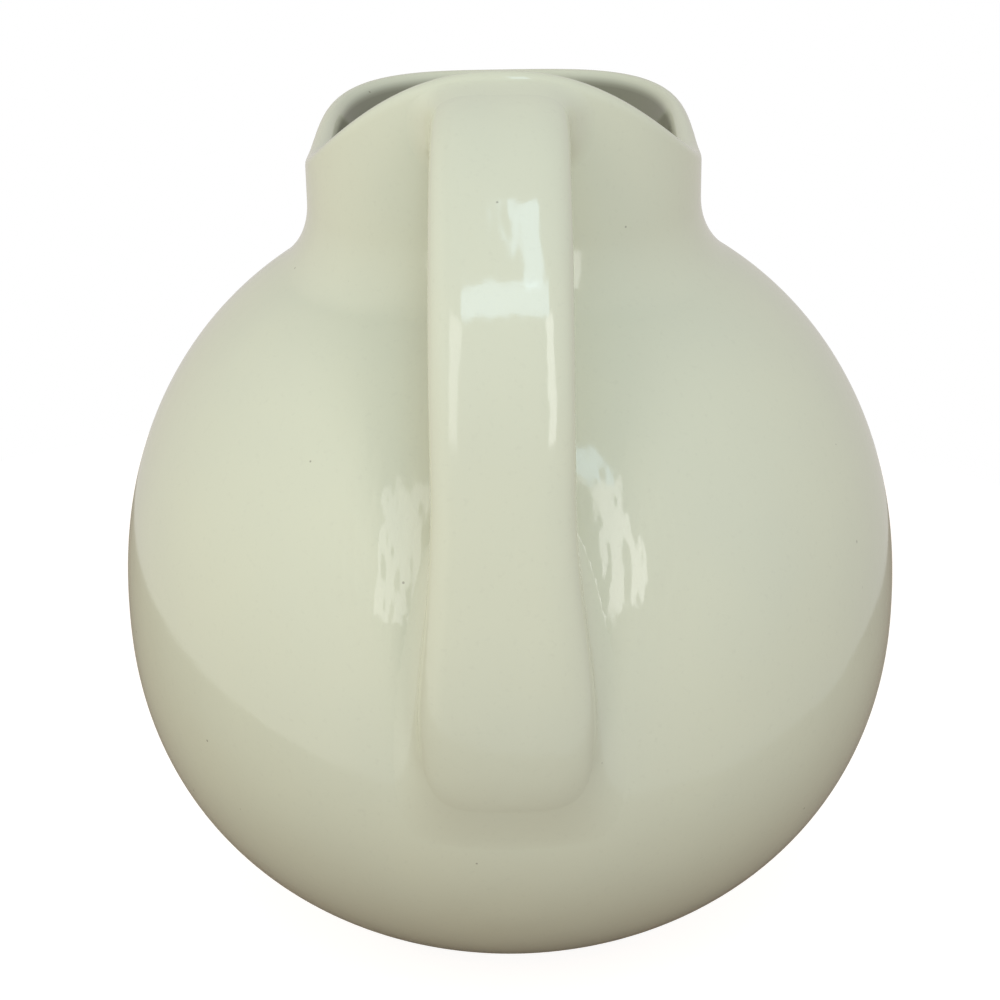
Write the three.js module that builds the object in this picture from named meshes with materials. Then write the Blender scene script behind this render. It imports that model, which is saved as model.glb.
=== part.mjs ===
import * as THREE from 'three';

// Ball jug: a hollow ball with an oval neck and pouring lip, a strap handle behind, and a bare foot ring.
// Millimetres, +Z up from the table, the handle towards -Y and the pouring lip towards +Y.

// Ball: its radius, its height above and below its widest line, and a little squareness in its outline
const ballRadius = 82;
const ballRise = 84.5;
const ballDrop = 76.3;
const ballPower = 2.17;
const wall = 4.8;

// Foot ring under the ball, whose flat underside stands out past the ring by a ledge
const footHeight = 3;
const footRadius = 34;
const footWidth = 7;
const footTaper = 1.2;
const footRound = 1;
const footLedge = 4;

// Neck in plan, measured to its outer face from the ball's axis
const neckHalfWidth = 39.9;
const neckBack = 41.3;
const neckFront = 46;
const lipReach = 61;
const neckBackPower = 2.28;
const neckFrontPower = 2.3;
const lipPower = 3.5;
const neckFillet = 8.5;
const neckFilletAim = 0.6;

// Rim's crest above the line where the neck's sides leave the ball
const rimSideRise = 19.1;
const rimFrontRise = 25.2;
const rimBackRise = 40;
const rimBackPower = 2.35;
const rimSoftShare = 0.15;

// Lip's bend: where the control point of its curve lies between root and rim
const lipBendOutShare = 0.22;
const lipBendUpShare = 0.55;

// Handle: its section, its place behind the ball and below the rim's crest, and where it clears the body
const handleWidth = 25.1;
const handleThick = 13;
const handlePower = 3.4;
const handleStandOff = 8.7;
const handleSetDown = 3.4;
const handleClearShare = 0.4;

// Handle's root: its inner face thickens to meet the ball, and its sides spread and round off as it sinks in
const rootThick = 6;
const rootThickStartShare = 0.39;
const rootThickEndShare = 0.58;
const rootSpread = 3.6;
const rootPower = 2.6;
const rootSpreadStartShare = 0.45;
const rootSpreadEndShare = 0.67;

// Handle's middle line: control points as shares of its reach behind the axis and of its crown's height
const handleLine = [
  [0.02, 0.85],
  [0.335, 1.02],
  [0.635, 1.015],
  [0.925, 0.745],
  [0.99, 0.55],
  [1.01, 0.2],
  [0.97, -0.015],
  [0.895, -0.135],
  [0.73, -0.22],
  [0.3, -0.2],
];

// Luting fillets: how far each reaches out over the body, and along the handle
const upperReachTop = 1.5;
const upperReachSide = 4;
const upperRun = 5;
const lowerReachLeft = 4.5;
const lowerReachRight = 6.5;
const lowerReachCrotch = 3;
const lowerRun = 13;
const lowerRunCrotch = 6;
const filletEdge = 0.5;
const filletPull = 0.4;
const jointGap = 0.36;

// Mesh steps, and steps in the search for where the handle meets the body
const columns = 64;
const ballSteps = 15;
const bendSteps = 4;
const capSteps = 5;
const sectionSteps = 40;
const handleSteps = 28;
const capRings = 10;
const legSteps = 5;
const arcSteps = 6;
const marchSteps = 80;
const halvings = 24;

const mix = (a, b, t) => a + (b - a) * t;
const mixPoint = (p, q, t) => p.map((value, i) => mix(value, q[i], t));
const length2 = (p, q) => Math.hypot(q[0] - p[0], q[1] - p[1]);

// Ball's outline in the plane of its axis: distance from the axis and height above its widest line
const ballPoint = (angle) => [
  ballRadius * Math.cos(angle) ** (2 / ballPower),
  (angle < 0 ? -ballDrop : ballRise) * Math.abs(Math.sin(angle)) ** (2 / ballPower),
];
const ballAngle = (radius) => Math.acos((radius / ballRadius) ** (ballPower / 2));
const baseAngle = -ballAngle(footRadius + footLedge);
const ballHeight = footHeight - ballPoint(baseAngle)[1];
const neckBase = ballPoint(ballAngle(neckHalfWidth))[1];
const rimCrown = neckBase + rimBackRise;

// Distance from the axis to a superellipse in plan, in the direction of an angle from +X
const planRadius = (angle, halfWidth, reach, power) => {
  const across = Math.abs(Math.cos(angle) / halfWidth) ** power;
  const along = Math.abs(Math.sin(angle) / reach) ** power;
  return (across + along) ** (-1 / power);
};

// Rise of the rim from its low sides: a saddle, high behind and lower in front
const rimHeight = (angle, radius) => {
  const forward = radius * Math.sin(angle);
  if (forward < 0) {
    const share = -forward / neckBack;
    return neckBase + mix(rimSideRise, rimBackRise, share ** rimBackPower);
  }
  const share = forward / lipReach;
  const soft = Math.hypot(share, rimSoftShare) - rimSoftShare;
  const full = Math.hypot(1, rimSoftShare) - rimSoftShare;
  return neckBase + mix(rimSideRise, rimFrontRise, soft / full);
};

const quadratic = (a, b, c, t) => mixPoint(mixPoint(a, b, t), mixPoint(b, c, t), t);
const cubic = (a, b, c, d, t) => mixPoint(quadratic(a, b, c, t), quadratic(b, c, d, t), t);

// Wall's outline in the half plane at one angle: up the outside, over the rim and down the inside
const meridian = (angle) => {
  const front = Math.sin(angle) > 0;
  const neckReach = front ? neckFront : neckBack;
  const rootRadius = planRadius(angle, neckHalfWidth, neckReach, front ? neckFrontPower : neckBackPower);
  const rimRadius = front ? planRadius(angle, neckHalfWidth, lipReach, lipPower) : rootRadius;
  const rootAngle = ballAngle(rootRadius);
  const root = ballPoint(rootAngle);
  const crest = rimHeight(angle, rimRadius);
  const bend = [mix(root[0], rimRadius, lipBendOutShare), mix(root[1], crest, lipBendUpShare)];
  const lean = (rimRadius - bend[0]) / length2(bend, [rimRadius, crest]);
  const edge = [rimRadius, crest - (wall / 2) * (1 + lean)];
  const neck = (t) => quadratic(root, bend, edge, t);

  const filletStart = rootAngle - neckFillet / ballRadius;
  const filletShare = neckFillet / (length2(root, bend) + length2(bend, edge));
  const start = ballPoint(filletStart);
  const end = neck(filletShare);
  const startAim = mixPoint(start, root, neckFilletAim);
  const endAim = mixPoint(end, root, neckFilletAim);

  const outer = [];
  for (let i = 0; i <= ballSteps; i += 1) outer.push(ballPoint(mix(baseAngle, filletStart, i / ballSteps)));
  for (let i = 1; i <= bendSteps; i += 1) outer.push(cubic(start, startAim, endAim, end, i / bendSteps));
  for (let i = 1; i <= bendSteps; i += 1) outer.push(neck(mix(filletShare, 1, i / bendSteps)));

  const inward = outer.map((point, i) => {
    const last = i === outer.length - 1;
    const before = last ? bend : outer[Math.max(i - 1, 0)];
    const after = outer[Math.min(i + 1, outer.length - 1)];
    const size = length2(before, after);
    return [-(after[1] - before[1]) / size, (after[0] - before[0]) / size];
  });
  const inner = outer.map((point, i) => [point[0] + wall * inward[i][0], point[1] + wall * inward[i][1]]);
  const floor = footHeight - ballHeight + wall;
  const depth = (-floor / (ballDrop - wall)) ** ballPower;
  inner[0] = [(ballRadius - wall) * (1 - depth) ** (1 / ballPower), floor];

  const out = inward[inward.length - 1].map((value) => -value);
  const along = [-out[1], out[0]];
  const middle = mixPoint(edge, inner[inner.length - 1], 0.5);
  const cap = [];
  for (let i = 1; i < capSteps; i += 1) {
    const turn = (Math.PI * i) / capSteps;
    cap.push(middle.map((v, k) => v + (wall / 2) * (out[k] * Math.cos(turn) + along[k] * Math.sin(turn))));
  }
  return { outer, cap, inner: inner.reverse() };
};

// Signed distance from a point to the outside of the body, negative in the wall and in the hollow
const bodyDistance = (point) => {
  const { outer, cap } = meridian(Math.atan2(point.y, point.x));
  const line = outer.concat(cap);
  const at = [Math.hypot(point.x, point.y), point.z - ballHeight];
  let nearest = Infinity;
  for (let i = 1; i < line.length; i += 1) {
    const [a, b] = [line[i - 1], line[i]];
    const run = [b[0] - a[0], b[1] - a[1]];
    const share = ((at[0] - a[0]) * run[0] + (at[1] - a[1]) * run[1]) / (run[0] ** 2 + run[1] ** 2);
    const foot = mixPoint(a, b, THREE.MathUtils.clamp(share, 0, 1));
    const side = run[0] * (at[1] - a[1]) - run[1] * (at[0] - a[0]);
    const distance = length2(foot, at);
    if (distance < Math.abs(nearest)) nearest = side > 0 ? -distance : distance;
  }
  return nearest;
};

// Handle's middle line: a uniform cubic B-spline, with its direction
const handleReach = ballRadius + handleStandOff - handleThick / 2;
const handleCrown = rimCrown - handleSetDown - handleThick / 2;
const handleEnd = handleLine.length - 3;
const middleOf = (u) => {
  const i = Math.min(Math.floor(u), handleEnd - 1);
  const t = u - i;
  const s = 1 - t;
  const weights = [s ** 3, 4 - 6 * t * t + 3 * t ** 3, 4 - 6 * s * s + 3 * s ** 3, t ** 3];
  const slopes = [-3 * s * s, 9 * t * t - 12 * t, 12 * s - 9 * s * s, 3 * t * t];
  const place = new THREE.Vector3();
  const along = new THREE.Vector3();
  for (let k = 0; k < 4; k += 1) {
    const [out, up] = handleLine[i + k];
    const control = new THREE.Vector3(0, -out * handleReach, up * handleCrown);
    place.addScaledVector(control, weights[k] / 6);
    along.addScaledVector(control, slopes[k] / 6);
  }
  return { place, along };
};

// Handle's section at one place: a point of its outline and the way out there, across and away from the ball
const sectionAt = (u, turn) => {
  const share = u / handleEnd;
  const thicken = rootThick * THREE.MathUtils.smoothstep(share, rootThickStartShare, rootThickEndShare);
  const spread = THREE.MathUtils.smoothstep(share, rootSpreadStartShare, rootSpreadEndShare);
  const power = mix(handlePower, rootPower, spread);
  const c = Math.cos(turn);
  const s = Math.sin(turn);
  const half = [handleWidth / 2 + rootSpread * spread, handleThick / 2 + (s < 0 ? thicken : 0)];
  const radius = (Math.abs(c / half[0]) ** power + Math.abs(s / half[1]) ** power) ** (-1 / power);
  const flat = [radius * c, radius * s];
  const slope = flat.map((v, i) => (Math.sign(v) * Math.abs(v / half[i]) ** (power - 1)) / half[i]);
  const size = Math.hypot(...slope);
  return { flat, normal: slope.map((v) => v / size) };
};

// A point of the handle: along its line, round its section, grown outwards and scaled about the line
const handlePoint = (u, turn, grow = 0, scale = 1) => {
  const { place, along } = middleOf(u);
  const { flat, normal } = sectionAt(u, turn);
  const out = new THREE.Vector3(0, along.z, -along.y).normalize();
  const across = flat[0] * scale + grow * normal[0];
  const away = flat[1] * scale + grow * normal[1];
  return new THREE.Vector3(across, 0, ballHeight).add(place).addScaledVector(out, away);
};

// Where one line along the handle comes within a given clearance of the body, towards its upper or lower end
const meet = (upper, turn, grow, clearance, scale = 1) => {
  const middle = handleClearShare * handleEnd;
  const end = upper ? 0 : handleEnd;
  let clear = middle;
  let closest = { u: middle, distance: Infinity };
  for (let i = 1; i <= marchSteps; i += 1) {
    const u = mix(middle, end, i / marchSteps);
    const distance = bodyDistance(handlePoint(u, turn, grow, scale)) - clearance;
    if (distance < closest.distance) closest = { u, distance };
    if (distance <= 0) {
      let blocked = u;
      for (let k = 0; k < halvings; k += 1) {
        const half = (clear + blocked) / 2;
        if (bodyDistance(handlePoint(half, turn, grow, scale)) > clearance) clear = half;
        else blocked = half;
      }
      return { u: clear, point: handlePoint(clear, turn, grow, scale) };
    }
    clear = u;
  }
  return { u: closest.u, point: handlePoint(closest.u, turn, grow, scale) };
};

// A closed mesh from rows of points: each row a loop, or one point at a pole; wrapped rows join last to first
const skin = (rows, wrapped = false) => {
  const positions = [];
  const starts = rows.map((row) => {
    const start = positions.length / 3;
    for (const p of row) positions.push(p.x, p.y, p.z);
    return start;
  });
  const at = (i) => new THREE.Vector3().fromArray(positions, 3 * i);
  const faces = [];
  const links = wrapped ? rows.length : rows.length - 1;
  for (let r = 0; r < links; r += 1) {
    const q = (r + 1) % rows.length;
    const count = Math.max(rows[r].length, rows[q].length);
    for (let i = 0; i < count; i += 1) {
      const j = (i + 1) % count;
      const pick = (row, k) => starts[row] + (rows[row].length === 1 ? 0 : k);
      const [a, b, c, d] = [pick(r, i), pick(r, j), pick(q, j), pick(q, i)];
      if (a === b) faces.push([a, c, d]);
      else if (c === d) faces.push([a, b, c]);
      else if (at(a).distanceTo(at(c)) < at(b).distanceTo(at(d))) faces.push([a, b, c], [a, c, d]);
      else faces.push([a, b, d], [b, c, d]);
    }
  }
  let volume = 0;
  for (const [a, b, c] of faces) volume += at(a).dot(at(b).cross(at(c)));
  const geometry = new THREE.BufferGeometry();
  geometry.setAttribute('position', new THREE.Float32BufferAttribute(positions, 3));
  geometry.setIndex(faces.flatMap(([a, b, c]) => (volume > 0 ? [a, b, c] : [a, c, b])));
  geometry.computeVertexNormals();
  return geometry;
};

const around = (count) => Array.from({ length: count }, (unused, i) => (2 * Math.PI * i) / count);
const lathePoint = (angle, [radius, height]) => (
  new THREE.Vector3(radius * Math.cos(angle), radius * Math.sin(angle), height)
);
const turns = around(sectionSteps);

// Body: one hollow casting of ball, neck and lip
const bodyGeometry = () => {
  const lines = around(columns).map((angle) => {
    const { outer, cap, inner } = meridian(angle);
    const lifted = [...outer, ...cap, ...inner].map(([radius, height]) => [radius, height + ballHeight]);
    return lifted.map((point) => lathePoint(angle, point));
  });
  const rows = lines[0].map((unused, i) => lines.map((line) => line[i]));
  const underside = [new THREE.Vector3(0, 0, footHeight)];
  const floor = [new THREE.Vector3(0, 0, footHeight + wall)];
  return skin([underside, ...rows, floor]);
};

// Foot: a plain ring with rounded lower edges, its top flat against the body
const footGeometry = () => {
  const inside = footRadius - footWidth;
  const profile = [
    [footRadius, footHeight],
    [footRadius - footTaper + footRound, footRound],
    [footRadius - footTaper + 0.3 * footRound, 0.3 * footRound],
    [footRadius - footTaper - footRound * 0.4, 0],
    [inside + footRound * 1.4, 0],
    [inside + footRound * 0.3, 0.3 * footRound],
    [inside, footRound],
    [inside, footHeight],
  ];
  return skin(profile.map((point) => around(columns).map((angle) => lathePoint(angle, point))), true);
};

// Handle: the section swept from neck to ball, each end dished to follow the body
const handleGeometry = () => {
  const rings = [];
  const ends = turns.map((turn) => [meet(true, turn, 0, jointGap).u, meet(false, turn, 0, jointGap).u]);
  for (let i = 0; i <= handleSteps; i += 1) {
    rings.push(turns.map((turn, k) => handlePoint(mix(ends[k][0], ends[k][1], i / handleSteps), turn)));
  }
  for (let i = 1; i < capRings; i += 1) {
    const scale = 1 - i / capRings;
    rings.unshift(turns.map((turn) => meet(true, turn, 0, jointGap, scale).point));
    rings.push(turns.map((turn) => meet(false, turn, 0, jointGap, scale).point));
  }
  rings.unshift([meet(true, 0, 0, jointGap, 0).point]);
  rings.push([meet(false, 0, 0, jointGap, 0).point]);
  return skin(rings);
};

// Fillet of luting slip round one end of the handle: a ring whose two legs lie on the handle and on the body
const filletGeometry = (upper, reachAt, runAt) => {
  const way = upper ? 1 : -1;
  const outside = jointGap + filletEdge;
  const loops = turns.map((turn) => {
    const facing = sectionAt(0, turn).normal;
    const reach = reachAt(...facing);
    const corner = meet(upper, turn, jointGap, jointGap);
    const bodyLeg = [];
    for (let i = 1; i <= legSteps; i += 1) {
      bodyLeg.push(meet(upper, turn, mix(jointGap, reach, i / legSteps), jointGap));
    }
    const far = bodyLeg[legSteps - 1].u;
    const furthest = upper ? Math.max(corner.u, far) : Math.min(corner.u, far);
    const start = furthest + (way * runAt(...facing)) / middleOf(furthest).along.length();
    const handleLeg = [];
    for (let i = legSteps; i > 0; i -= 1) {
      handleLeg.push(handlePoint(mix(corner.u, start, i / legSteps), turn, jointGap));
    }

    const begin = handlePoint(start, turn, outside);
    const end = meet(upper, turn, reach, outside).point;
    const nearEnd = meet(upper, turn, reach - filletEdge, outside).point;
    const leave = handlePoint(start - way * 0.01, turn, outside).sub(begin).normalize();
    const arrive = end.clone().sub(nearEnd).normalize();
    const pull = filletPull * begin.distanceTo(end);
    const curve = new THREE.CubicBezierCurve3(
      begin,
      begin.clone().addScaledVector(leave, pull),
      end.clone().addScaledVector(arrive, -pull),
      end,
    );
    const bodyPoints = bodyLeg.map((leg) => leg.point).reverse();
    return [...curve.getPoints(arcSteps), ...bodyPoints, corner.point, ...handleLeg.reverse()];
  });
  return skin(loops, true);
};

// Slip is thin over the top of the upper joint, where handle and rim run level, and fuller at its sides
const upperReach = (across, away) => mix(upperReachSide, upperReachTop, Math.max(0, away));
const upperRunAt = () => upperRun;
// Slip is pressed in thinner on one side of the lower joint, fuller on the other, and rounds the crotch
const lowerReach = (across, away) => (
  mix(mix(lowerReachLeft, lowerReachRight, (1 + across) / 2), lowerReachCrotch, Math.max(0, -away))
);
const lowerRunAt = (across, away) => mix(lowerRun, lowerRunCrotch, Math.max(0, -away));

const glaze = new THREE.MeshStandardMaterial({ color: 0xd9dac8, roughness: 0.15 });
const biscuit = new THREE.MeshStandardMaterial({ color: 0xe3d8c4, roughness: 0.6 });
const pieces = [
  ['body_shell', bodyGeometry(), glaze],
  ['foot_ring', footGeometry(), biscuit],
  ['handle', handleGeometry(), glaze],
  ['upper_handle_joint', filletGeometry(true, upperReach, upperRunAt), glaze],
  ['lower_handle_joint', filletGeometry(false, lowerReach, lowerRunAt), glaze],
];

const jug = new THREE.Group();
jug.name = 'ball_pitcher';
const onAxis = new THREE.Group();
onAxis.position.y = handleStandOff / 2;
jug.add(onAxis);
for (const [name, geometry, material] of pieces) {
  const mesh = new THREE.Mesh(geometry, material.clone());
  mesh.name = name;
  onAxis.add(mesh);
}

export default jug;
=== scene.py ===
import math

import bpy
import numpy as np
from mathutils import Matrix, Vector


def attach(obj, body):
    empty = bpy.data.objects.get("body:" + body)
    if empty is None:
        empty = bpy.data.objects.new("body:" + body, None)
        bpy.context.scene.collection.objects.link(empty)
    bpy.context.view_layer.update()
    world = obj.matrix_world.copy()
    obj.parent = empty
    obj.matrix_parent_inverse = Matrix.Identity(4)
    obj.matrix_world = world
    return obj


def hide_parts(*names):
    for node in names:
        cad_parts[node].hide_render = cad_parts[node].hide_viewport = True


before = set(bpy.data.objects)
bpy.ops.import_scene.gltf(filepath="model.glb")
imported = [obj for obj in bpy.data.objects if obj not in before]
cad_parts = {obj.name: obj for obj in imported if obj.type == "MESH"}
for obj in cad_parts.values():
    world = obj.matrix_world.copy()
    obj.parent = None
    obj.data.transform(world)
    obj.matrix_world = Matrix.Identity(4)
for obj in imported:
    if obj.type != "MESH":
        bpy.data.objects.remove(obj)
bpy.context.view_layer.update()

# The jug's lengths are in millimetres, as in the part's source, and become metres where a mesh is made
MM = 0.001

# Ball, foot and wall
BALL_RADIUS = 82.0
BALL_RISE = 84.5
BALL_DROP = 76.3
BALL_POWER = 2.17
WALL = 4.8
FOOT_HEIGHT = 3.0
FOOT_RADIUS = 34.0
FOOT_WIDTH = 7.0
FOOT_TAPER = 1.2
FOOT_ROUND = 1.0
FOOT_ROUND_ACROSS = 1.2
FOOT_ROUND_SET_IN = 0.4
FOOT_SHOULDER_OUT = 0.9
FOOT_SHOULDER_UP = 1.05
FOOT_LEDGE = 4.0
UNDERSIDE_RADII = (10.0, 22.0, 31.0)
UNDERSIDE_EDGE = 0.8
FLOOR_RADII = (30.0, 18.0, 8.0)
FLOOR_BEND = 2.0

# Neck, rim and lip
NECK_HALF_WIDTH = 39.9
NECK_BACK = 41.3
NECK_FRONT = 46.0
LIP_REACH = 61.0
NECK_BACK_POWER = 2.28
NECK_FRONT_POWER = 2.3
LIP_POWER = 3.5
NECK_FILLET = 8.5
NECK_FILLET_AIM = 0.6
RIM_SIDE_RISE = 19.1
RIM_FRONT_RISE = 25.2
RIM_BACK_RISE = 40.0
RIM_BACK_POWER = 2.35
RIM_SOFT_SHARE = 0.15
LIP_BEND_OUT = 0.22
LIP_BEND_UP = 0.55

# Handle
HANDLE_WIDTH = 25.1
HANDLE_THICK = 13.0
HANDLE_POWER = 3.4
HANDLE_STAND_OFF = 8.7
HANDLE_SET_DOWN = 3.4
HANDLE_CLEAR_SHARE = 0.4
HANDLE_SINK_SHARE = 0.45
HANDLE_END_SCALES = (0.75, 0.5, 0.25)
ROOT_THICK = 6.0
ROOT_THICK_START = 0.39
ROOT_THICK_END = 0.58
ROOT_SPREAD = 3.6
ROOT_POWER = 2.6
ROOT_SPREAD_START = 0.45
ROOT_SPREAD_END = 0.67
HANDLE_LINE = np.array([
    [0.02, 0.85],
    [0.335, 1.02],
    [0.635, 1.015],
    [0.925, 0.745],
    [0.99, 0.55],
    [1.01, 0.2],
    [0.97, -0.015],
    [0.895, -0.135],
    [0.73, -0.22],
    [0.3, -0.2],
])

# Slip fillets: how far each spreads over the body and along the handle, and is tucked in below them
UPPER_REACH_TOP = 1.5
UPPER_REACH_SIDE = 5.5
UPPER_RUN = 8.0
LOWER_REACH_LEFT = 6.5
LOWER_REACH_RIGHT = 7.5
LOWER_REACH_END = 3.5
LOWER_REACH_CROTCH = 4.0
LOWER_RUN_SIDE = 12.0
LOWER_RUN_END = 8.0
LOWER_RUN_CROTCH = 7.0
FILLET_SINK = 0.004
FILLET_SHARES = (1.0, 0.7, 0.42)
TUCK_REACH_SHARE = 0.85
TUCK_WALL_SHARE = 0.3
TUCK_PAST_CORNER = 1.5
TUCK_BEFORE_CORNER = 0.2
TUCK_DEPTH = 1.6

# Glaze: mesh rows below the rim over which painted shade comes in on the inside and fades out again deeper
# down, and the ripples beside the root and on the handle
PAINTED_SHADE_ROWS = (0.0, 4.2)
PAINTED_SHADE_FADE_ROWS = (12, 36)
RIPPLE_ACROSS = 23.0
RIPPLE_WIDTH = 8.0
RIPPLE_UP = 106.0
RIPPLE_HEIGHT = 18.0
HANDLE_RIPPLE = 0.2

# Mesh steps
COLUMNS = 288
BALL_STEPS = 88
BEND_STEPS = 18
NECK_STEPS = 26
CAP_STEPS = 14
FOOT_BEND_POINTS = 7
TURNS = 128
HANDLE_STEPS = 150
FILLET_STEPS = 32
MARCH_STEPS = 120
HALVINGS = 22
TABLE_ANGLES = 1440
TABLE_STEPS = (60, 14, 20, 14)

# The jug's axis lies ahead of the frame's origin by half the handle's stand-off
AXIS_Y = HANDLE_STAND_OFF / 2

# Glaze looks: colours, noise scales per metre, bands of noise in use, and bumps as (strength, metres)
GLAZE_BRIGHT = (0.71, 0.71, 0.543, 1)
GLAZE_DULL = (0.685, 0.69, 0.537, 1)
GLAZE_GRAIN = (0.5, 0.49, 0.38, 1)
GLAZE_PIT = (0.2, 0.17, 0.12, 1)
# Painted shade: a dark colour mixed into the glaze inside the mouth in place of the shadow there, and how
# much of it
PAINTED_SHADE_COLOUR = (0.145, 0.14, 0.09, 1)
PAINTED_SHADE_STRENGTH = 0.88
CLOUD_SCALE = 22.0
CLOUD_BAND = (0.35, 0.65)
GRAIN_SCALE = 900.0
GRAIN_BAND = (0.6, 0.8)
GRAIN_SHARE = 0.12
GLOSS_SCALE = 70.0
GLOSS_BAND = (0.3, 0.7)
GLAZE_ROUGHNESS = (0.07, 0.13)
GLAZE_IOR = 1.52
SLIP_STRETCH = (1.5, 1.0, 0.55)
SLIP_SCALE = 95.0
SLIP_BUMP = (0.6, 0.0022)
WAVE_SCALE = 45.0
WAVE_BUMP = (0.45, 0.0006)
PEEL_SCALE = 420.0
PEEL_BUMP = (0.06, 0.0002)

# Pits in the glaze: cells per metre, share of cells without one, size in cells, darkness
PITS = (
    (42.0, 0.88, 0.03, 0.9),
    (170.0, 0.86, 0.055, 0.6),
)
PIT_CORE = 0.6
PIT_STEP = 0.01

# Bare clay looks, in the same terms
CLAY_DARK = (0.58, 0.47, 0.34, 1)
CLAY_PALE = (0.68, 0.58, 0.44, 1)
CLAY_SPECK = (0.3, 0.22, 0.15, 1)
CLAY_CLOUD_SCALE = 120.0
SPECK_SCALE = 1600.0
SPECK_BAND = (0.64, 0.72)
SPECK_SHARE = 0.7
CLAY_DULL_SCALE = 300.0
CLAY_ROUGHNESS = (0.72, 0.9)
TOOTH_SCALE = 1400.0
TOOTH_BUMP = (0.4, 0.0003)

# Stand: a round floor, in metres, and its lift to white for the eye and in mirrors
WHITE = (1, 1, 1, 1)
STAND_X = -0.03
STAND_AHEAD = 0.098
STAND_RADIUS = 0.25
STAND_SIDES = 256
STAND_COLOUR = (0.36, 0.29, 0.23, 1)
STAND_ROUGHNESS = 0.9
STAND_SPECULAR = 0.1
STAND_LIFT = (0.9, 0.02)

# Room: colours by direction, the span of direction over which each comes in, and its lift to white
ROOM_COLOUR = (0.53, 0.53, 0.53, 1)
LEFT_COLOUR = (0.98, 0.965, 0.885, 1)
LEFT_SPAN = (-0.5, -0.72)
RIGHT_COLOUR = (0.55, 0.54, 0.535, 1)
RIGHT_SPAN = (0.35, 0.85)
BEHIND_COLOUR = (0.62, 0.59, 0.56, 1)
BEHIND_SPAN = (0.2, 0.9)
ROOM_LIFT = (1.0, 0.04)

# Lamps: azimuth and elevation in degrees, width and height in metres, radiance and colour
LAMP_DISTANCE = 1.0
LAMP_AIM_HEIGHT = 0.09
SKY = (0.56, 0.8, 1.0)
PLAIN = (1.0, 0.99, 0.98)
LAMPS = (
    ("left_strip", -27, 20, 0.24, 0.72, 2.1, PLAIN),
    ("right_strip", 29, 21, 0.22, 0.72, 3.2, PLAIN),
    ("top_bar", 5, 47, 0.64, 0.15, 3.8, SKY),
    ("top_strip", 15, 61, 0.17, 0.4, 3.9, SKY),
)

# Camera: the photograph's viewing angle, and where the ball lies in it, in pixels
IMAGE = 1000.0
ELEVATION = math.radians(22.482)
AZIMUTH = math.radians(0.632)
ROLL = math.radians(0.898)
DISTANCE_IN_RADII = 5.5
BALL_AT = (510.0, 579.0)
BALL_RADIUS_IN_IMAGE = 381.4
SENSOR = 36.0
CLIP_START = 0.01


def mix(a, b, t):
    return a + (b - a) * t


def smoothstep(x, low, high):
    t = np.clip((x - low) / (high - low), 0.0, 1.0)
    return t * t * (3.0 - 2.0 * t)


def unit(v):
    return v / np.linalg.norm(v, axis=-1, keepdims=True)


def ball_point(angle):
    """Distance from the axis and height above the widest line."""
    angle = np.asarray(angle, float)
    reach = np.where(angle < 0, -BALL_DROP, BALL_RISE)
    radius = BALL_RADIUS * np.cos(angle) ** (2 / BALL_POWER)
    height = reach * np.abs(np.sin(angle)) ** (2 / BALL_POWER)
    return np.stack([radius, height], axis=-1)


def ball_angle(radius):
    return np.arccos((radius / BALL_RADIUS) ** (BALL_POWER / 2))


BASE_RADIUS = FOOT_RADIUS + FOOT_LEDGE
BASE_ANGLE = -float(ball_angle(BASE_RADIUS))
BALL_HEIGHT = FOOT_HEIGHT - float(ball_point(BASE_ANGLE)[1])
NECK_BASE = float(ball_point(ball_angle(NECK_HALF_WIDTH))[1])
RIM_CROWN = NECK_BASE + RIM_BACK_RISE


def plan_radius(angle, half_width, reach, power):
    across = np.abs(np.cos(angle) / half_width) ** power
    along = np.abs(np.sin(angle) / reach) ** power
    return (across + along) ** (-1 / power)


def rim_height(angle, radius):
    forward = radius * np.sin(angle)
    behind = np.clip(-forward / NECK_BACK, 0, None) ** RIM_BACK_POWER
    soft = np.hypot(forward / LIP_REACH, RIM_SOFT_SHARE) - RIM_SOFT_SHARE
    full = math.hypot(1, RIM_SOFT_SHARE) - RIM_SOFT_SHARE
    back = mix(RIM_SIDE_RISE, RIM_BACK_RISE, behind)
    front = mix(RIM_SIDE_RISE, RIM_FRONT_RISE, soft / full)
    return NECK_BASE + np.where(forward < 0, back, front)


def quadratic(a, b, c, t):
    return mix(mix(a, b, t), mix(b, c, t), t)


def cubic(a, b, c, d, t):
    return mix(quadratic(a, b, c, t), quadratic(b, c, d, t), t)


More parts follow.
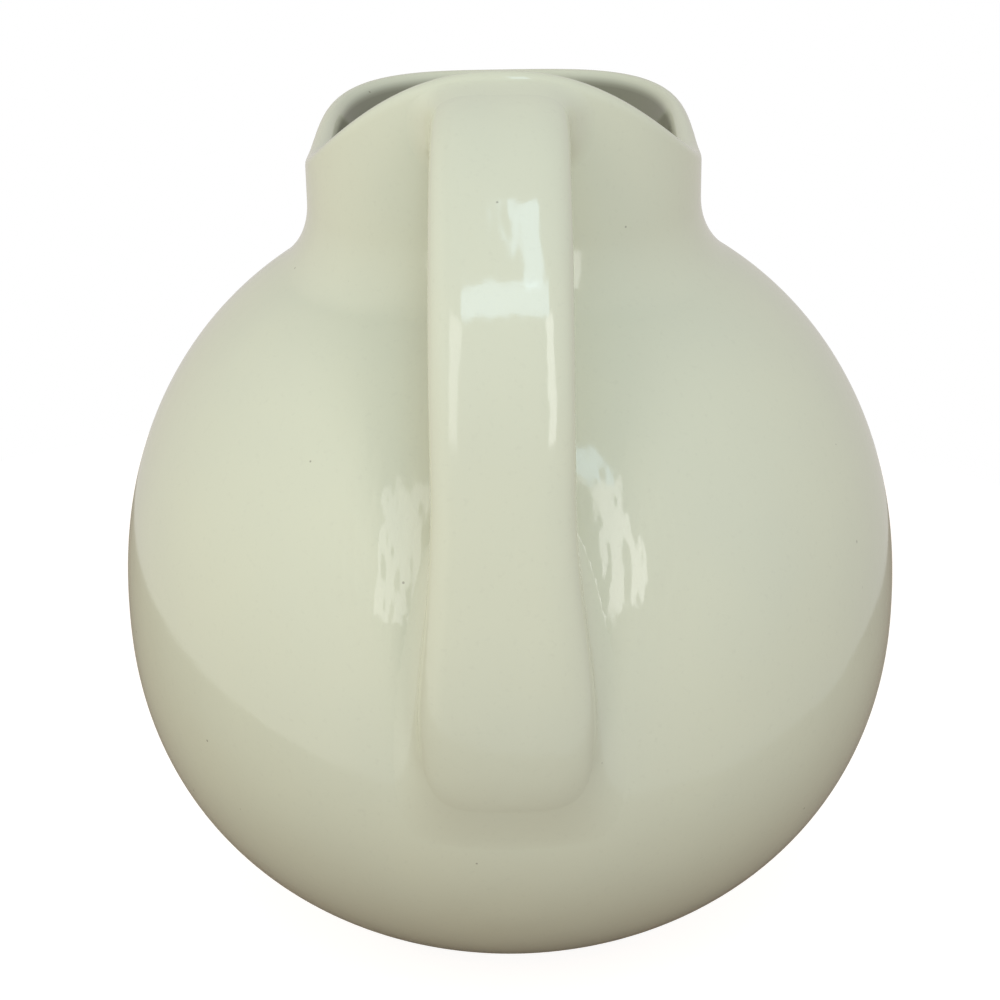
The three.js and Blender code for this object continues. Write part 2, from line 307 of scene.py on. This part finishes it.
def meridians(angles, ball_steps, bend_steps, neck_steps, cap_steps):
    """Outside, rim and inside of the wall at each angle, as rows of (radius, height)."""
    front = np.sin(angles) > 0
    back_root = plan_radius(angles, NECK_HALF_WIDTH, NECK_BACK, NECK_BACK_POWER)
    front_root = plan_radius(angles, NECK_HALF_WIDTH, NECK_FRONT, NECK_FRONT_POWER)
    root_radius = np.where(front, front_root, back_root)
    lip_radius = plan_radius(angles, NECK_HALF_WIDTH, LIP_REACH, LIP_POWER)
    rim_radius = np.where(front, lip_radius, root_radius)
    root_angle = ball_angle(root_radius)
    root = ball_point(root_angle)
    crest = rim_height(angles, rim_radius)
    top = np.stack([rim_radius, crest], axis=-1)
    bend = np.stack([
        mix(root[:, 0], rim_radius, LIP_BEND_OUT),
        mix(root[:, 1], crest, LIP_BEND_UP),
    ], axis=-1)
    lean = (rim_radius - bend[:, 0]) / np.linalg.norm(top - bend, axis=-1)
    edge = np.stack([rim_radius, crest - WALL / 2 * (1 + lean)], axis=-1)

    fillet_start = root_angle - NECK_FILLET / BALL_RADIUS
    run = np.linalg.norm(bend - root, axis=-1) + np.linalg.norm(edge - bend, axis=-1)
    fillet_share = NECK_FILLET / run
    rise = [a[:, None, :] for a in (root, bend, edge)]
    start = ball_point(fillet_start)[:, None, :]
    end = quadratic(*rise, fillet_share[:, None, None])
    start_aim = mix(start, rise[0], NECK_FILLET_AIM)
    end_aim = mix(end, rise[0], NECK_FILLET_AIM)

    t = np.linspace(0, 1, ball_steps + 1)
    ball = ball_point(mix(BASE_ANGLE, fillet_start[:, None], t[None, :]))
    t = np.linspace(0, 1, bend_steps + 1)[1:]
    fillet = cubic(start, start_aim, end_aim, end, t[None, :, None])
    t = np.linspace(0, 1, neck_steps + 1)[1:]
    neck = quadratic(*rise, mix(fillet_share[:, None], 1.0, t[None, :])[:, :, None])
    outer = np.concatenate([ball, fillet, neck], axis=1)

    before = np.concatenate([outer[:, :1], outer[:, :-1]], axis=1)
    after = np.concatenate([outer[:, 1:], outer[:, -1:]], axis=1)
    way = unit(after - before)
    inward = np.stack([-way[..., 1], way[..., 0]], axis=-1)
    inner = outer + WALL * inward

    out = -inward[:, -1]
    along = np.stack([-out[:, 1], out[:, 0]], axis=-1)
    middle = (outer[:, -1] + inner[:, -1]) / 2
    turn = np.pi * np.arange(1, cap_steps) / cap_steps
    cap = (
        middle[:, None, :]
        + WALL / 2 * np.cos(turn)[None, :, None] * out[:, None, :]
        + WALL / 2 * np.sin(turn)[None, :, None] * along[:, None, :]
    )
    return outer, cap, inner


TABLE = np.concatenate(
    meridians(np.linspace(-np.pi, np.pi, TABLE_ANGLES + 1), *TABLE_STEPS)[:2], axis=1
)


def body_distance(points):
    """Signed distance from points to the outside of the body, negative in the wall and in the hollow."""
    shape = points.shape[:-1]
    p = points.reshape(-1, 3)
    place = (np.arctan2(p[:, 1], p[:, 0]) + np.pi) / (2 * np.pi) * TABLE_ANGLES
    low = np.clip(np.floor(place).astype(int), 0, TABLE_ANGLES - 1)
    share = (place - low)[:, None, None]
    line = mix(TABLE[low], TABLE[low + 1], share)
    at = np.stack([np.hypot(p[:, 0], p[:, 1]), p[:, 2] - BALL_HEIGHT], axis=-1)[:, None, :]
    a = line[:, :-1]
    run = line[:, 1:] - a
    t = np.clip(((at - a) * run).sum(-1) / (run ** 2).sum(-1), 0, 1)
    gap = np.linalg.norm(a + t[..., None] * run - at, axis=-1)
    side = run[..., 0] * (at - a)[..., 1] - run[..., 1] * (at - a)[..., 0]
    nearest = gap.argmin(axis=1)
    rows = np.arange(len(p))
    signed = np.where(side[rows, nearest] > 0, -1, 1) * gap[rows, nearest]
    return signed.reshape(shape)


# Handle's middle line: a uniform cubic B-spline
HANDLE_REACH = BALL_RADIUS + HANDLE_STAND_OFF - HANDLE_THICK / 2
HANDLE_CROWN = RIM_CROWN - HANDLE_SET_DOWN - HANDLE_THICK / 2
HANDLE_END = len(HANDLE_LINE) - 3


def middle_of(u):
    """Place and direction along the handle, as (towards +Y, up)."""
    i = np.clip(np.floor(u).astype(int), 0, HANDLE_END - 1)
    t = u - i
    s = 1 - t
    weights = [s ** 3, 4 - 6 * t ** 2 + 3 * t ** 3, 4 - 6 * s ** 2 + 3 * s ** 3, t ** 3]
    slopes = [-3 * s ** 2, 9 * t ** 2 - 12 * t, 12 * s - 9 * s ** 2, 3 * t ** 2]
    size = np.array([-HANDLE_REACH, HANDLE_CROWN])
    place = sum(w[..., None] * HANDLE_LINE[i + k] for k, w in enumerate(weights)) * size / 6
    along = sum(w[..., None] * HANDLE_LINE[i + k] for k, w in enumerate(slopes)) * size / 6
    return place, along


def section_at(u, turn):
    """Outline of the handle's section and the way out of it, across and away from the ball."""
    share = u / HANDLE_END
    thicken = ROOT_THICK * smoothstep(share, ROOT_THICK_START, ROOT_THICK_END)
    spread = smoothstep(share, ROOT_SPREAD_START, ROOT_SPREAD_END)
    power = mix(HANDLE_POWER, ROOT_POWER, spread)
    c, s = np.cos(turn), np.sin(turn)
    half_across = HANDLE_WIDTH / 2 + ROOT_SPREAD * spread
    half_away = HANDLE_THICK / 2 + np.where(s < 0, thicken, 0.0)
    radius = (np.abs(c / half_across) ** power + np.abs(s / half_away) ** power) ** (-1 / power)
    flat = np.stack([radius * c, radius * s], axis=-1)
    slope_across = np.sign(c) * np.abs(flat[..., 0] / half_across) ** (power - 1) / half_across
    slope_away = np.sign(s) * np.abs(flat[..., 1] / half_away) ** (power - 1) / half_away
    return flat, unit(np.stack([slope_across, slope_away], axis=-1))


def handle_point(u, turn, grow=0.0, scale=1.0):
    u, turn, grow = np.broadcast_arrays(np.asarray(u, float), turn, np.asarray(grow, float))
    place, along = middle_of(u)
    flat, normal = section_at(u, turn)
    out = unit(np.stack([along[..., 1], -along[..., 0]], axis=-1))
    reach = flat * scale + grow[..., None] * normal
    return np.stack([
        reach[..., 0],
        place[..., 0] + out[..., 0] * reach[..., 1],
        BALL_HEIGHT + place[..., 1] + out[..., 1] * reach[..., 1],
    ], axis=-1)


def meet(upper, turn, grow, clearance, scale=1.0):
    """Where each line along the handle comes within a clearance of the body, towards one end."""
    middle = HANDLE_CLEAR_SHARE * HANDLE_END
    end = 0.0 if upper else float(HANDLE_END)
    steps = mix(middle, end, np.linspace(0, 1, MARCH_STEPS + 1))[:, None]
    gap = body_distance(handle_point(steps, turn[None, :], grow, scale)) - clearance
    blocked = gap <= 0
    first = np.where(blocked.any(axis=0), blocked.argmax(axis=0), gap.argmin(axis=0))
    first = np.maximum(first, 1)
    near = steps[first - 1, 0]
    far = steps[first, 0]
    for _ in range(HALVINGS):
        half = (near + far) / 2
        clear = body_distance(handle_point(half, turn, grow, scale)) > clearance
        near = np.where(clear, half, near)
        far = np.where(clear, far, half)
    return near, handle_point(near, turn, grow, scale)


def skin(name, rows, wrapped=False, creases=()):
    """A closed mesh from rows of points, each a loop or one point at a pole. Rows in creases stay sharp."""
    points = np.concatenate(rows)
    starts = np.cumsum([0] + [len(row) for row in rows])
    faces = []
    links = len(rows) if wrapped else len(rows) - 1
    for r in range(links):
        q = (r + 1) % len(rows)
        count = max(len(rows[r]), len(rows[q]))
        for i in range(count):
            j = (i + 1) % count
            a, b = starts[r] + i, starts[r] + j
            c, d = starts[q] + j, starts[q] + i
            if len(rows[r]) == 1:
                faces.append((starts[r], c, d))
            elif len(rows[q]) == 1:
                faces.append((a, b, starts[q]))
            else:
                faces.append((a, b, c, d))
    place = (points + np.array([0.0, AXIS_Y, 0.0])) * MM
    mesh = bpy.data.meshes.new(name)
    mesh.from_pydata(place.tolist(), [], [tuple(int(i) for i in f) for f in faces])
    mesh.update()
    volume = sum(
        place[f[0]].dot(np.cross(place[f[k]], place[f[k + 1]]))
        for f in faces
        for k in range(1, len(f) - 1)
    )
    if volume < 0:
        mesh.flip_normals()
    mesh.polygons.foreach_set("use_smooth", [True] * len(mesh.polygons))
    row_of = np.repeat(np.arange(len(rows)), [len(row) for row in rows])
    for edge in mesh.edges:
        first, second = (row_of[i] for i in edge.vertices)
        edge.use_edge_sharp = bool(first == second and first in creases)
    piece = bpy.data.objects.new(name, mesh)
    bpy.context.scene.collection.objects.link(piece)
    return piece


def set_values(piece, name, values):
    piece.data.attributes.new(name, "FLOAT", "POINT").data.foreach_set("value", values)


def lathe(angles, profile):
    """Rows round the axis from points of (radius, height)."""
    return [
        np.stack([r * np.cos(angles), r * np.sin(angles), np.full(len(angles), h)], axis=-1)
        for r, h in profile
    ]


def around(count):
    return 2 * np.pi * np.arange(count) / count


# Body: ball, neck, lip and the glazed inside in one shell
def make_body():
    angles = around(COLUMNS)
    outer, cap, inner = meridians(angles, BALL_STEPS, BEND_STEPS, NECK_STEPS, CAP_STEPS)
    floor = FOOT_HEIGHT - BALL_HEIGHT + WALL
    above = inner[..., 1] - floor
    inner[..., 1] = floor + (above + np.hypot(above, FLOOR_BEND)) / 2
    line = np.concatenate([outer, cap, inner[:, ::-1]], axis=1)
    ring = np.stack([
        line[..., 0] * np.cos(angles)[:, None],
        line[..., 0] * np.sin(angles)[:, None],
        line[..., 1] + BALL_HEIGHT,
    ], axis=-1)
    rows = [ring[:, i] for i in range(ring.shape[1])]
    pole = np.array([[0.0, 0.0, FOOT_HEIGHT]])
    under = lathe(angles, [(r, FOOT_HEIGHT) for r in (*UNDERSIDE_RADII, BASE_RADIUS - UNDERSIDE_EDGE)])
    inside = lathe(angles, [(r, FOOT_HEIGHT + WALL) for r in FLOOR_RADII])
    bottom = np.array([[0.0, 0.0, FOOT_HEIGHT + WALL]])
    loops = [pole, *under, *rows, *inside, bottom]
    shell = skin("glazed_body", loops)

    # Painted shade inside the mouth: the inside values give how much dark colour the glaze takes in place
    # of shadow, rising below the rim and fading out deeper down
    painted_shade = np.zeros(len(loops))
    first = 1 + len(under) + outer.shape[1] + cap.shape[1]
    below = np.arange(len(loops) - first)
    painted_shade[first:] = smoothstep(below, *PAINTED_SHADE_ROWS) * (1 - smoothstep(below, *PAINTED_SHADE_FADE_ROWS))
    set_values(shell, "inside", np.repeat(painted_shade, [len(loop) for loop in loops]))

    place = np.concatenate(loops)
    beside = np.exp(-((np.abs(place[:, 0]) - RIPPLE_ACROSS) / RIPPLE_WIDTH) ** 2)
    level = np.exp(-((place[:, 2] - RIPPLE_UP) / RIPPLE_HEIGHT) ** 2)
    set_values(shell, "ripple", np.where(place[:, 1] < 0, beside * level, 0.0))
    return shell


# Foot: the wiped ring that the jug stands on
def make_foot():
    inside = FOOT_RADIUS - FOOT_WIDTH
    outside = FOOT_RADIUS - FOOT_TAPER
    round_across = FOOT_ROUND * FOOT_ROUND_ACROSS
    bend = np.linspace(0, np.pi / 2, FOOT_BEND_POINTS)
    profile = [
        (FOOT_RADIUS, FOOT_HEIGHT),
        (outside + FOOT_SHOULDER_OUT * FOOT_ROUND, FOOT_ROUND * FOOT_SHOULDER_UP),
    ]
    for turn in bend:
        radius = outside - FOOT_ROUND * FOOT_ROUND_SET_IN + round_across * math.cos(turn)
        profile.append((radius, FOOT_ROUND * (1 - math.sin(turn))))
    for turn in bend[::-1]:
        radius = inside + round_across - round_across * math.cos(turn)
        profile.append((radius, FOOT_ROUND * (1 - math.sin(turn))))
    profile.append((inside, FOOT_HEIGHT))
    return skin("bare_foot", lathe(around(COLUMNS // 2), profile), wrapped=True)


# Handle: swept into the wall at both ends, so that no seam shows
def make_handle():
    turns = around(TURNS)
    depth = -HANDLE_SINK_SHARE * WALL
    upper = meet(True, turns, 0.0, depth)[0]
    lower = meet(False, turns, 0.0, depth)[0]
    rows = [handle_point(mix(upper, lower, t), turns) for t in np.linspace(0, 1, HANDLE_STEPS + 1)]
    for scale in HANDLE_END_SCALES:
        rows.insert(0, meet(True, turns, 0.0, depth, scale)[1])
        rows.append(meet(False, turns, 0.0, depth, scale)[1])
    rows.insert(0, rows[0].mean(axis=0, keepdims=True))
    rows.append(rows[-1].mean(axis=0, keepdims=True))
    strap = skin("strap_handle", rows)
    set_values(strap, "ripple", np.full(len(strap.data.vertices), HANDLE_RIPPLE))
    return strap


def bezier(points, t):
    while len(points) > 1:
        points = [mix(a, b, t) for a, b in zip(points, points[1:])]
    return points[0]


# Fillet of slip: leaves the handle and the body without a crease, and is closed off below their surfaces
def make_fillet(name, upper, reach_of, run_of):
    turns = around(TURNS)
    way = 1 if upper else -1
    normal = section_at(np.zeros(TURNS), turns)[1]
    reach = reach_of(normal[:, 0], normal[:, 1])
    run = run_of(normal[:, 0], normal[:, 1])
    corner_u = meet(upper, turns, 0.0, 0.0)[0]
    body_side = [meet(upper, turns, reach * share, -FILLET_SINK) for share in FILLET_SHARES]
    pace = np.linalg.norm(middle_of(corner_u)[1], axis=-1)
    further = np.maximum if upper else np.minimum
    start_u = further(corner_u, body_side[0][0]) + way * run / pace
    handle_side = [
        handle_point(mix(start_u, corner_u, 1 - share), turns, -FILLET_SINK)
        for share in FILLET_SHARES
    ]
    control = [*handle_side, *[point for _, point in body_side[::-1]]]
    rows = [bezier(control, t) for t in smoothstep(np.linspace(0, 1, FILLET_STEPS + 1), 0, 1)]
    sunk_body = meet(upper, turns, reach * TUCK_REACH_SHARE, -TUCK_WALL_SHARE * WALL)[1]
    sunk_corner = handle_point(corner_u - way * TUCK_PAST_CORNER / pace, turns, -TUCK_DEPTH)
    sunk_handle = handle_point(mix(start_u, corner_u, TUCK_BEFORE_CORNER), turns, -TUCK_DEPTH)
    tucked = [sunk_body, sunk_corner, sunk_handle]
    return skin(name, [*rows, *tucked], wrapped=True, creases=(0, FILLET_STEPS))


def upper_reach(across, away):
    return mix(UPPER_REACH_SIDE, UPPER_REACH_TOP, np.clip(away, 0, None))


def upper_run(across, away):
    return np.full(len(away), UPPER_RUN)


def lower_reach(across, away):
    side = mix(LOWER_REACH_LEFT, LOWER_REACH_RIGHT, (1 + across) / 2)
    return mix(side, np.where(away < 0, LOWER_REACH_CROTCH, LOWER_REACH_END), np.abs(away))


def lower_run(across, away):
    return mix(LOWER_RUN_SIDE, np.where(away < 0, LOWER_RUN_CROTCH, LOWER_RUN_END), np.abs(away))


body = make_body()
foot = make_foot()
handle = make_handle()
upper_joint = make_fillet("upper_slip_fillet", True, upper_reach, upper_run)
lower_joint = make_fillet("lower_slip_fillet", False, lower_reach, lower_run)


# Materials
def nodes_of(name):
    material = bpy.data.materials.new(name)
    material.use_nodes = True
    tree = material.node_tree
    shader = tree.nodes["Principled BSDF"]
    return material, tree, shader


def node(tree, kind, inputs=(), **settings):
    made = tree.nodes.new(kind)
    for key, value in settings.items():
        setattr(made, key, value)
    for socket, value in dict(inputs).items():
        if isinstance(value, bpy.types.NodeSocket):
            tree.links.new(value, made.inputs[socket])
        else:
            made.inputs[socket].default_value = value
    return made


def maths(tree, operation, *values):
    return node(tree, "ShaderNodeMath", dict(enumerate(values)), operation=operation).outputs[0]


def noise(tree, place, scale, detail=2.0):
    made = node(tree, "ShaderNodeTexNoise", {"Vector": place, "Scale": scale, "Detail": detail})
    return made.outputs["Fac"]


def bump(tree, height, strength, distance, under=None):
    """A bump, laid over another one if that is given."""
    made = node(tree, "ShaderNodeBump", {"Height": height, "Strength": strength, "Distance": distance})
    if under is not None:
        tree.links.new(under, made.inputs["Normal"])
    return made.outputs["Normal"]


def remap(tree, value, low, high, to_low, to_high):
    made = node(tree, "ShaderNodeMapRange", {
        "Value": value, "From Min": low, "From Max": high, "To Min": to_low, "To Max": to_high,
    })
    return made.outputs["Result"]


def mix_colour(tree, factor, a, b):
    made = tree.nodes.new("ShaderNodeMix")
    made.data_type = "RGBA"
    for name, value in (("Factor_Float", factor), ("A_Color", a), ("B_Color", b)):
        socket = next(s for s in made.inputs if s.identifier == name)
        if isinstance(value, bpy.types.NodeSocket):
            tree.links.new(value, socket)
        else:
            socket.default_value = value
    return next(s for s in made.outputs if s.identifier == "Result_Color")


def pits(tree, place, scale, share, size, dark):
    cells = node(tree, "ShaderNodeTexVoronoi", {"Vector": place, "Scale": scale, "Randomness": 1.0})
    pick = node(tree, "ShaderNodeSeparateColor", {"Color": cells.outputs["Color"]}).outputs["Red"]
    chosen = remap(tree, pick, share, share + PIT_STEP, 0.0, dark)
    near = remap(tree, cells.outputs["Distance"], PIT_CORE * size, size, 1.0, 0.0)
    return maths(tree, "MULTIPLY", chosen, near)


def glaze_material():
    material, tree, shader = nodes_of("ivory_glaze")
    place = node(tree, "ShaderNodeTexCoord").outputs["Object"]
    cloud = remap(tree, noise(tree, place, CLOUD_SCALE, detail=3.0), *CLOUD_BAND, 0.0, 1.0)
    colour = mix_colour(tree, cloud, GLAZE_BRIGHT, GLAZE_DULL)
    grain = remap(tree, noise(tree, place, GRAIN_SCALE), *GRAIN_BAND, 0.0, GRAIN_SHARE)
    colour = mix_colour(tree, grain, colour, GLAZE_GRAIN)
    for scale, share, size, dark in PITS:
        colour = mix_colour(tree, pits(tree, place, scale, share, size, dark), colour, GLAZE_PIT)
    # Painted shade: the inside values mix a dark colour into the glaze where the mouth lies in shadow
    inside = node(tree, "ShaderNodeAttribute", attribute_name="inside").outputs["Fac"]
    painted_shade = remap(tree, inside, 0.0, 1.0, 0.0, PAINTED_SHADE_STRENGTH)
    colour = mix_colour(tree, painted_shade, colour, PAINTED_SHADE_COLOUR)
    tree.links.new(colour, shader.inputs["Base Color"])

    gloss = remap(tree, noise(tree, place, GLOSS_SCALE, detail=3.0), *GLOSS_BAND, *GLAZE_ROUGHNESS)
    tree.links.new(gloss, shader.inputs["Roughness"])
    shader.inputs["IOR"].default_value = GLAZE_IOR

    ripple = node(tree, "ShaderNodeAttribute", attribute_name="ripple").outputs["Fac"]
    drawn = node(tree, "ShaderNodeVectorMath", {0: place, 1: SLIP_STRETCH}, operation="MULTIPLY").outputs[0]
    drag = maths(tree, "MULTIPLY", noise(tree, drawn, SLIP_SCALE), ripple)
    slip = bump(tree, drag, *SLIP_BUMP)
    wave = bump(tree, noise(tree, place, WAVE_SCALE, detail=1.0), *WAVE_BUMP, under=slip)
    peel = bump(tree, noise(tree, place, PEEL_SCALE), *PEEL_BUMP, under=wave)
    tree.links.new(peel, shader.inputs["Normal"])
    return material


def clay_material():
    material, tree, shader = nodes_of("bare_clay")
    place = node(tree, "ShaderNodeTexCoord").outputs["Object"]
    cloud = remap(tree, noise(tree, place, CLAY_CLOUD_SCALE, detail=4.0), *CLOUD_BAND, 0.0, 1.0)
    colour = mix_colour(tree, cloud, CLAY_DARK, CLAY_PALE)
    speck = remap(tree, noise(tree, place, SPECK_SCALE), *SPECK_BAND, 0.0, SPECK_SHARE)
    colour = mix_colour(tree, speck, colour, CLAY_SPECK)
    tree.links.new(colour, shader.inputs["Base Color"])
    dull = remap(tree, noise(tree, place, CLAY_DULL_SCALE, detail=3.0), *GLOSS_BAND, *CLAY_ROUGHNESS)
    tree.links.new(dull, shader.inputs["Roughness"])
    tooth = bump(tree, noise(tree, place, TOOTH_SCALE, detail=3.0), *TOOTH_BUMP)
    tree.links.new(tooth, shader.inputs["Normal"])
    return material


glaze = glaze_material()
clay = clay_material()
for piece, material, slot, nodes in (
    (body, glaze, "ivory_glaze", "body_shell"),
    (foot, clay, "bare_clay", "foot_ring"),
    (handle, glaze, "ivory_glaze", "handle"),
    (upper_joint, glaze, "ivory_glaze", "upper_handle_joint"),
    (lower_joint, glaze, "ivory_glaze", "lower_handle_joint"),
):
    piece.data.materials.append(material)
    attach(piece, "root")
    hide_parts(nodes)


# How far the stage is lifted to white: fully where the eye sees it, and a little in mirrors
def lift(tree, to_eye, to_mirror):
    path = node(tree, "ShaderNodeLightPath")
    mirrored = maths(tree, "MAXIMUM", path.outputs["Is Glossy Ray"], path.outputs["Is Transmission Ray"])
    dimmed = maths(tree, "MULTIPLY", mirrored, to_mirror)
    return maths(tree, "MULTIPLY_ADD", path.outputs["Is Camera Ray"], to_eye, dimmed)


# Floor: a round stand, whose edge the glaze mirrors as a line across the belly
def make_floor():
    middle_y = AXIS_Y * MM + STAND_AHEAD
    rim = [
        (STAND_X + STAND_RADIUS * math.cos(a), middle_y + STAND_RADIUS * math.sin(a), 0.0)
        for a in around(STAND_SIDES)
    ]
    mesh = bpy.data.meshes.new("floor")
    mesh.from_pydata(rim, [], [tuple(range(STAND_SIDES))])
    floor = bpy.data.objects.new("floor", mesh)
    bpy.context.scene.collection.objects.link(floor)
    material, tree, shader = nodes_of("pale_floor")
    shader.inputs["Base Color"].default_value = STAND_COLOUR
    shader.inputs["Roughness"].default_value = STAND_ROUGHNESS
    shader.inputs["Specular IOR Level"].default_value = STAND_SPECULAR
    shader.inputs["Emission Color"].default_value = WHITE
    tree.links.new(lift(tree, *STAND_LIFT), shader.inputs["Emission Strength"])
    mesh.materials.append(material)


# Room: soft light all round, warm and bright on the left, and white where the eye sees it
def make_room():
    world = bpy.data.worlds.new("studio")
    bpy.context.scene.world = world
    world.use_nodes = True
    tree = world.node_tree
    way = node(tree, "ShaderNodeTexCoord").outputs["Generated"]
    toward = node(tree, "ShaderNodeSeparateXYZ", {"Vector": way}).outputs
    left = remap(tree, toward["X"], *LEFT_SPAN, 0.0, 1.0)
    right = remap(tree, toward["X"], *RIGHT_SPAN, 0.0, 1.0)
    behind = remap(tree, toward["Y"], *BEHIND_SPAN, 0.0, 1.0)
    colour = mix_colour(tree, left, ROOM_COLOUR, LEFT_COLOUR)
    colour = mix_colour(tree, right, colour, RIGHT_COLOUR)
    colour = mix_colour(tree, behind, colour, BEHIND_COLOUR)
    colour = mix_colour(tree, lift(tree, *ROOM_LIFT), colour, WHITE)
    tree.links.new(colour, tree.nodes["Background"].inputs["Color"])


# Lamp: a soft rectangle that faces the jug and isn't seen by the camera itself
def make_lamp(name, azimuth, elevation, width, height, radiance, colour):
    a, e = math.radians(azimuth), math.radians(elevation)
    back = Vector((math.sin(a) * math.cos(e), -math.cos(a) * math.cos(e), math.sin(e)))
    lamp = bpy.data.lights.new(name, "AREA")
    lamp.shape = "RECTANGLE"
    lamp.size = width
    lamp.size_y = height
    lamp.energy = radiance * math.pi * width * height
    lamp.color = colour
    light = bpy.data.objects.new(name, lamp)
    light.location = Vector((0, AXIS_Y * MM, LAMP_AIM_HEIGHT)) + back * LAMP_DISTANCE
    light.rotation_euler = (-back).to_track_quat("-Z", "Y").to_euler()
    light.visible_camera = False
    bpy.context.scene.collection.objects.link(light)


# Camera, turned so that the ball lies where it does in the photograph
def make_camera():
    back = Vector((
        math.sin(AZIMUTH) * math.cos(ELEVATION),
        -math.cos(AZIMUTH) * math.cos(ELEVATION),
        math.sin(ELEVATION),
    ))
    right = Vector((math.cos(AZIMUTH), math.sin(AZIMUTH), 0))
    up = back.cross(right)
    x_axis = right * math.cos(ROLL) - up * math.sin(ROLL)
    y_axis = right * math.sin(ROLL) + up * math.cos(ROLL)
    focal = BALL_RADIUS_IN_IMAGE * math.sqrt(DISTANCE_IN_RADII ** 2 - 1)
    across = (BALL_AT[0] - IMAGE / 2) / focal
    upward = (IMAGE / 2 - BALL_AT[1]) / focal
    forward = (-back - x_axis * across - y_axis * upward).normalized()
    x_axis = (x_axis - forward * x_axis.dot(forward)).normalized()
    y_axis = (-forward).cross(x_axis)
    lens = bpy.data.cameras.new("camera")
    lens.sensor_width = SENSOR
    lens.lens = SENSOR * focal / IMAGE
    lens.clip_start = CLIP_START
    camera = bpy.data.objects.new("camera", lens)
    centre = Vector((0, AXIS_Y, BALL_HEIGHT)) * MM
    turn = Matrix((x_axis, y_axis, -forward)).transposed().to_4x4()
    camera.matrix_world = Matrix.Translation(centre + back * DISTANCE_IN_RADII * BALL_RADIUS * MM) @ turn
    bpy.context.scene.collection.objects.link(camera)
    bpy.context.scene.camera = camera


make_floor()
make_room()
for lamp in LAMPS:
    make_lamp(*lamp)
make_camera()
bpy.context.scene.view_settings.view_transform = "Standard"
